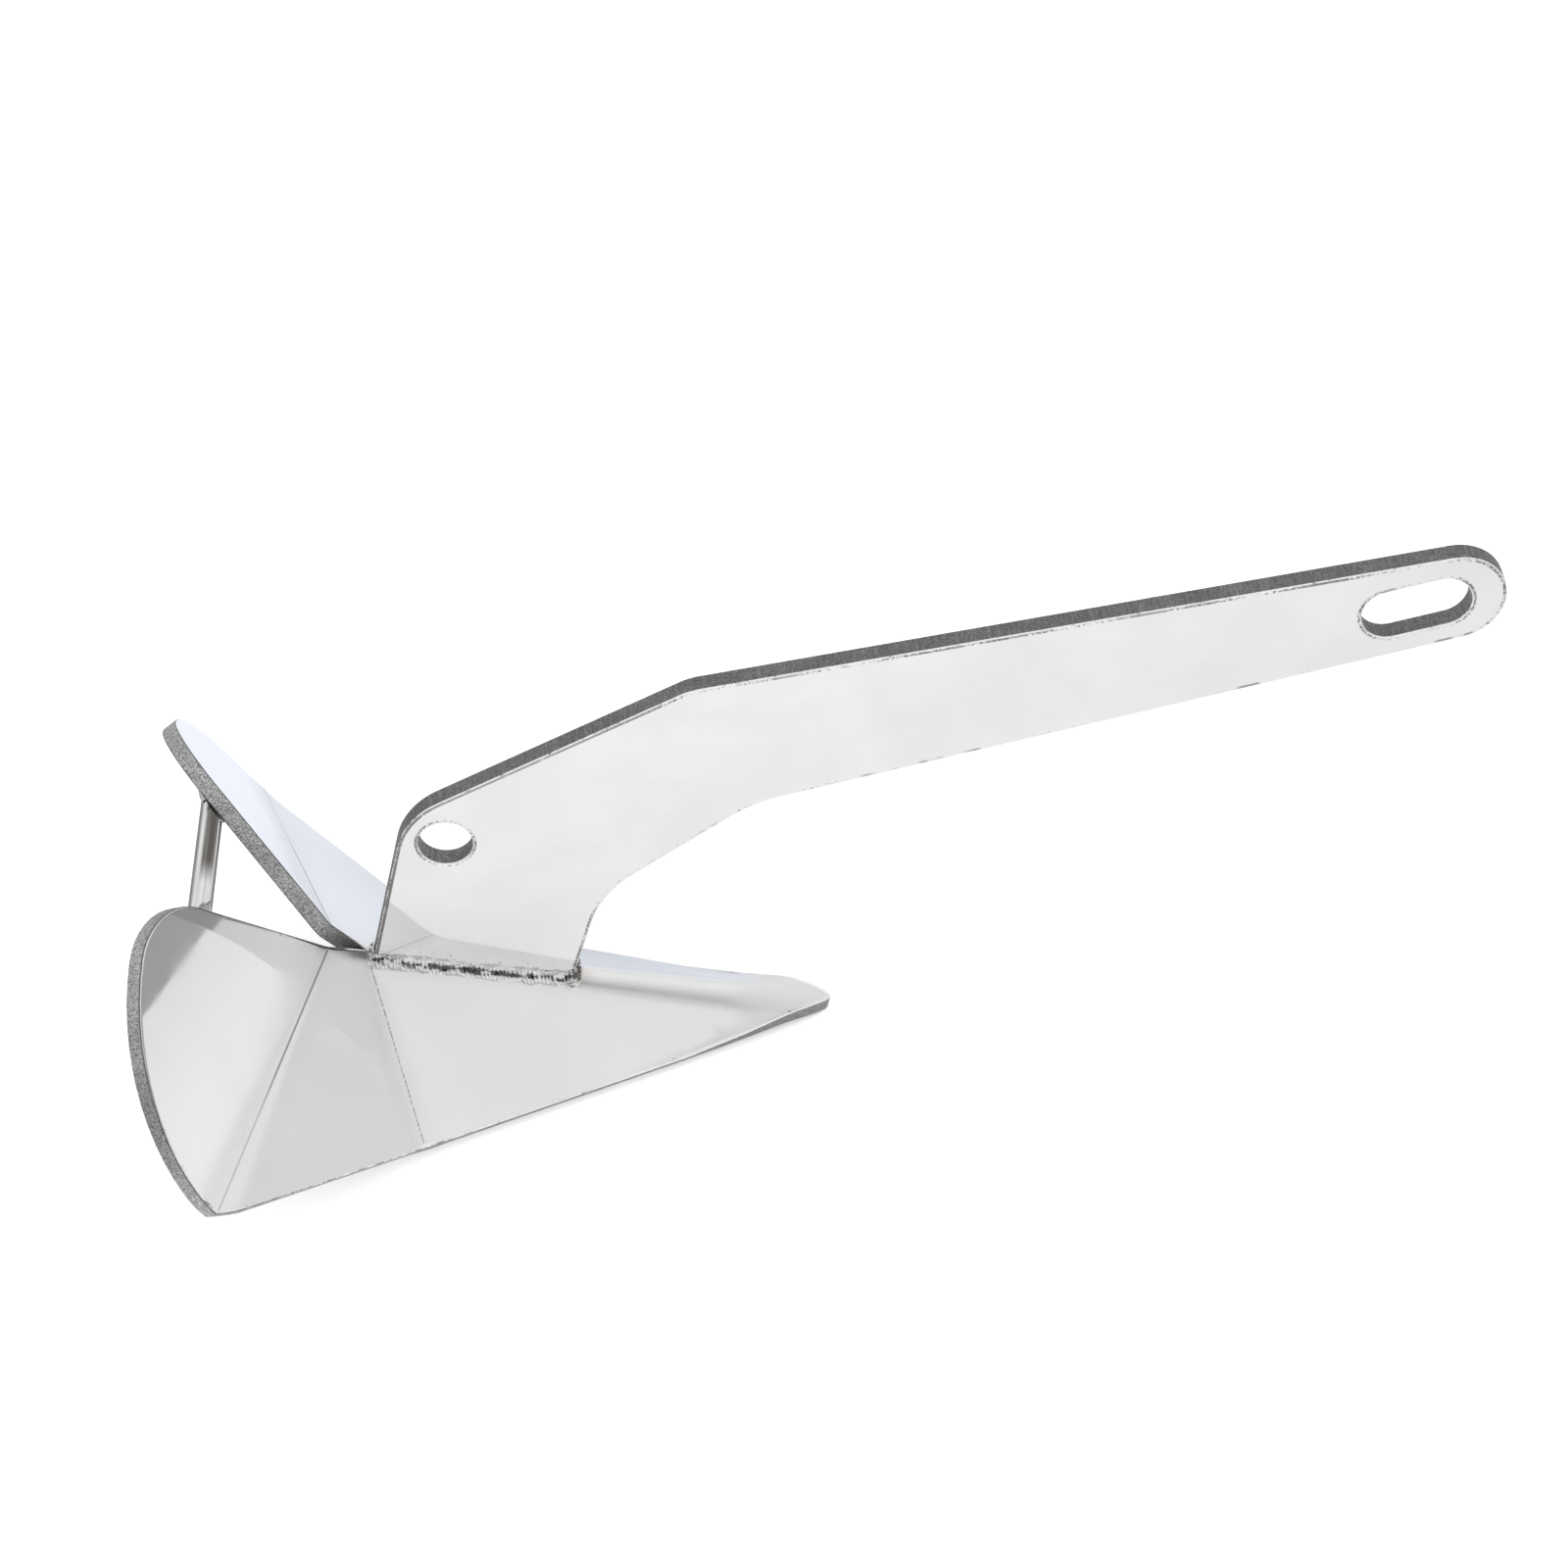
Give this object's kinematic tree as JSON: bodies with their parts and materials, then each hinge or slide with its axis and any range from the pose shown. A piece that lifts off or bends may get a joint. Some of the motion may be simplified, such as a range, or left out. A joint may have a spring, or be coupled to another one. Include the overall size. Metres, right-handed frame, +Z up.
{
  "type": "boat anchor",
  "caption": "Fixed-shank plough anchor: a flat slotted shank welded on the ridge of a folded, two-winged stainless plate, with a bar tying the wings.",
  "frame": {"origin": "centre of the anchor's bounding box, on the ground it stands on", "axes": "+X forward from the wings towards the nose and the shackle slot, +Y to port, +Z up with the anchor standing on its nose and lower edges"},
  "size_m": [0.6172, 0.2898, 0.2461],
  "materials": {
    "polished_plate": "mirror-polished stainless steel with matt ground edges",
    "drawn_bar": "bright drawn stainless steel bar",
    "weld_metal": "rippled, lightly brushed stainless weld metal",
    "raw_steel": "matt pickled steel"
  },
  "bodies": {
    "root": {"shank": "polished_plate", "fluke": "polished_plate", "crossbar": "drawn_bar", "shank_weld_port": "weld_metal", "shank_weld_starboard": "weld_metal", "shank_weld_toe": "weld_metal", "shank_weld_heel": "weld_metal", "crossbar_weld_port": "weld_metal", "crossbar_weld_starboard": "weld_metal", "nose_ballast": "raw_steel", "ballast_weld_port": "weld_metal", "ballast_weld_starboard": "weld_metal"}
  },
  "joints": []
}
